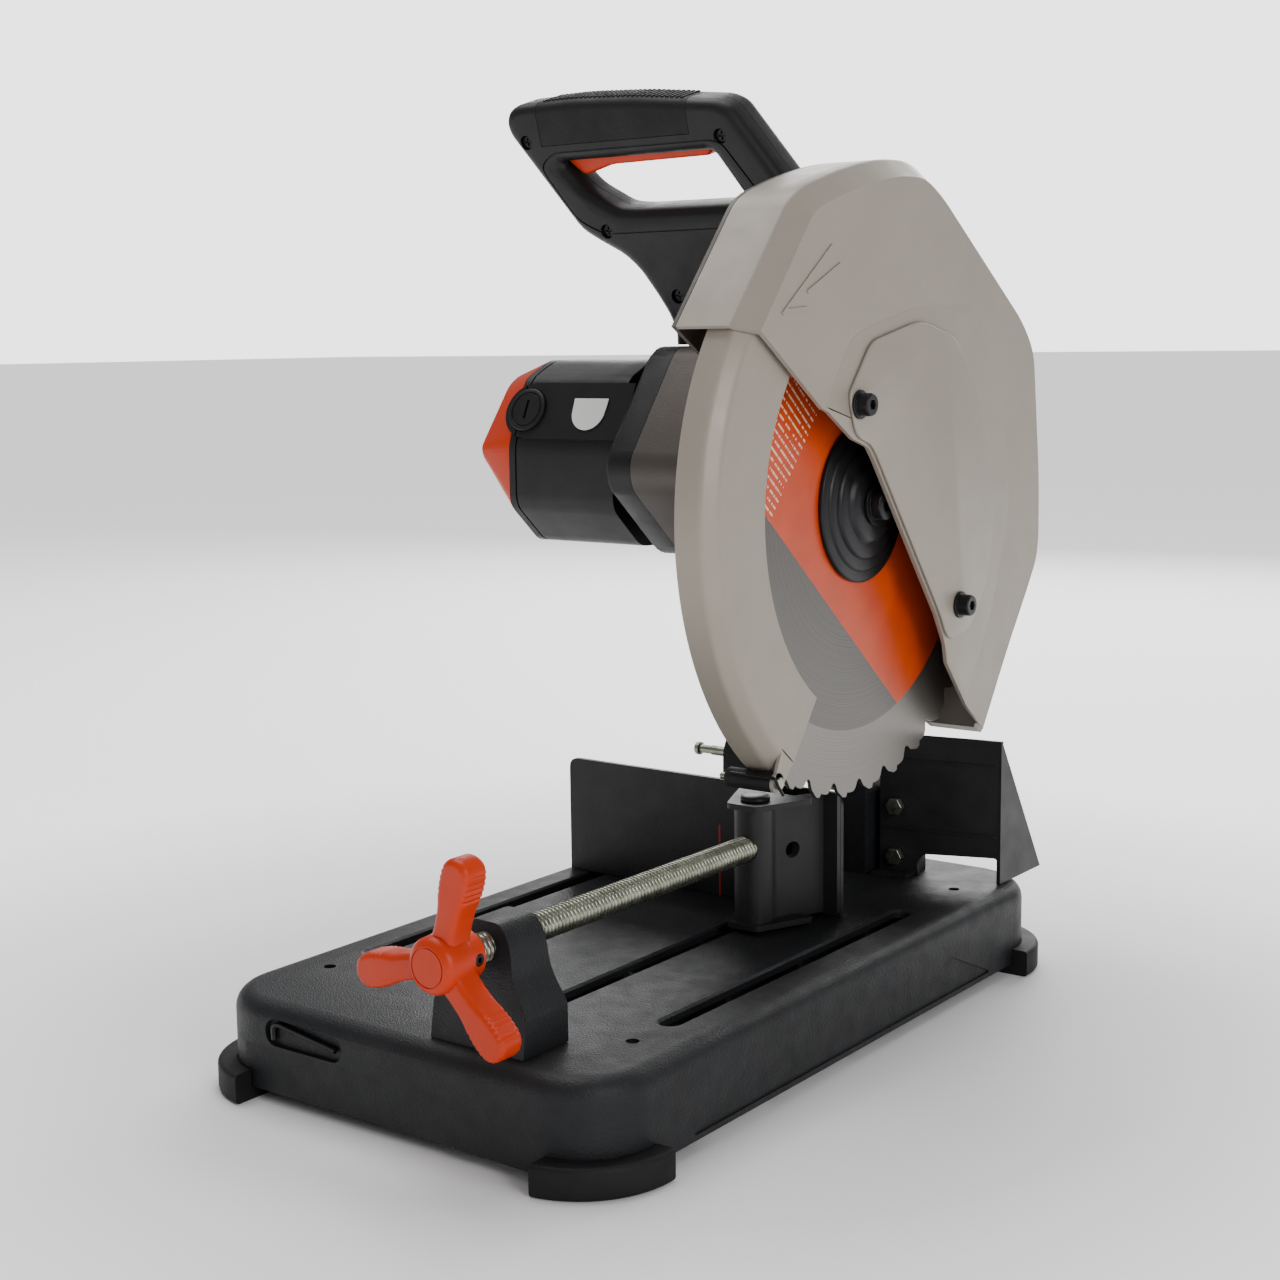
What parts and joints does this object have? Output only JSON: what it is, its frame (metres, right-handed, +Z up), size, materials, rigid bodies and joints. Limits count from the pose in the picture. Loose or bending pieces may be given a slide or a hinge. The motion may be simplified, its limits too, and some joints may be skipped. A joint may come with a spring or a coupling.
{
  "type": "metal-cutting chop saw",
  "caption": "Metal-cutting chop saw: ribbed cast base, screw vise and fence, pivoting motor head, D-handle, toothed blade under a fixed and a swinging guard.",
  "frame": {"origin": "centre of the footprint, on the bench", "axes": "+Z up, +X to the operator's right along the blade's axle, +Y away from the operator"},
  "size_m": [0.302, 0.5488, 0.5668],
  "materials": {
    "cast_black": "fine textured charcoal powder coat",
    "sheet_black": "satin black paint on pressed steel",
    "guard_grey": "satin warm grey paint",
    "casting_grey": "dark warm grey painted casting",
    "orange_plastic": "moulded, fine grain",
    "black_plastic": "moulded, fine grain",
    "rubber": "matt",
    "zinc": "zinc plated",
    "steel": "ground",
    "blackened": "black oxide",
    "blade_steel": "ground plate with a printed orange field",
    "label": "blank printed foil",
    "cutout": "laminations, varnish and copper"
  },
  "bodies": {
    "frame": {"base": "cast_black", "foot_front_right": "rubber", "foot_front_left": "rubber", "foot_rear_right": "rubber", "foot_rear_left": "rubber", "hex_key": "blackened", "vise_block": "cast_black", "fence": "sheet_black", "fence_bolt_left": "zinc", "fence_bolt_right": "zinc", "chip_deflector": "sheet_black", "deflector_bolt_upper": "zinc", "deflector_bolt_lower": "zinc", "pivot_bracket": "cast_black", "bracket_bolt_left": "zinc", "bracket_bolt_right": "zinc", "pivot_shaft": "steel", "return_spring": "steel"},
    "jaw": {"jaw_bracket": "sheet_black", "jaw_pin": "blackened"},
    "vise_turner": {"vise_screw": "zinc", "vise_handle": "orange_plastic", "handle_grub_screw": "blackened"},
    "head": {"head_casting": "casting_grey", "upper_guard": "guard_grey", "guard_side_plate": "casting_grey", "arbor_cover": "guard_grey", "cover_bolt_upper": "blackened", "cover_bolt_lower": "blackened", "motor_housing": "black_plastic", "motor_end_cap": "orange_plastic", "brush_cap_front": "black_plastic", "brush_cap_rear": "black_plastic", "rating_label": "label", "motor_stator": "cutout", "cable_inlet": "rubber", "handle_shell_front": "black_plastic", "handle_shell_rear": "black_plastic", "handle_grip": "rubber", "handle_screw_1": "blackened", "handle_screw_2": "blackened", "handle_screw_3": "blackened", "handle_screw_4": "blackened"},
    "trigger_lever": {"trigger": "orange_plastic"},
    "swing_guard": {"lower_guard": "guard_grey", "roller_axle": "zinc", "roller_clip": "blackened"},
    "roller": {"guard_roller": "rubber"},
    "cutter": {"blade": "blade_steel", "inner_flange": "blackened", "outer_flange": "blackened", "arbor_bolt": "blackened", "spindle": "steel"},
    "rotor": {"motor_armature": "cutout", "motor_fan": "black_plastic"},
    "lock": {"lock_pin": "zinc"}
  },
  "joints": [
    {"name": "head_pivot", "type": "hinge", "parent": "frame", "child": "head", "pos_m": [-0.014, 0.19314, 0.126], "axis": [1, 0, 0], "range_deg": [0, 27], "stiffness_Nm_per_rad": 58, "springref_deg": -15.01},
    {"name": "guard_swing", "type": "hinge", "parent": "head", "child": "swing_guard", "pos_m": [0.09, 0.07014, 0.313], "axis": [1, 0, 0], "range_deg": [-67.5, 0]},
    {"name": "blade_spin", "type": "hinge", "parent": "head", "child": "cutter", "pos_m": [0.09, 0.07014, 0.313], "axis": [1, 0, 0], "continuous": true},
    {"name": "motor_spin", "type": "hinge", "parent": "head", "child": "rotor", "pos_m": [-0.06, 0.05514, 0.343], "axis": [1, 0, 0], "continuous": true},
    {"name": "roller_spin", "type": "hinge", "parent": "swing_guard", "child": "roller", "pos_m": [0.09, -0.04759, 0.16604], "axis": [1, 0, 0], "continuous": true},
    {"name": "vise_turn", "type": "hinge", "parent": "jaw", "child": "vise_turner", "pos_m": [0.0515, -0.11186, 0.109], "axis": [0, 1, 0], "range_deg": [-14400, 0]},
    {"name": "vise_slide", "type": "slide", "parent": "frame", "child": "jaw", "axis": [0, -1, 0], "range_m": [0, 0.12]},
    {"name": "trigger_squeeze", "type": "hinge", "parent": "head", "child": "trigger_lever", "pos_m": [-0.002, 0.05541, 0.52812], "axis": [0, 0.9613, 0.2756], "range_deg": [0, 4.5], "stiffness_Nm_per_rad": 3, "springref_deg": -6.88},
    {"name": "lock_slide", "type": "slide", "parent": "frame", "child": "lock", "axis": [1, 0, 0], "range_m": [0, 0.008]}
  ],
  "couplings": [
    {"joint": "guard_swing", "follows": "head_pivot", "ratio": -2.5},
    {"joint": "motor_spin", "follows": "blade_spin", "ratio": -3.7857},
    {"joint": "vise_slide", "follows": "vise_turn", "m_per_rad": -0.00047746}
  ]
}
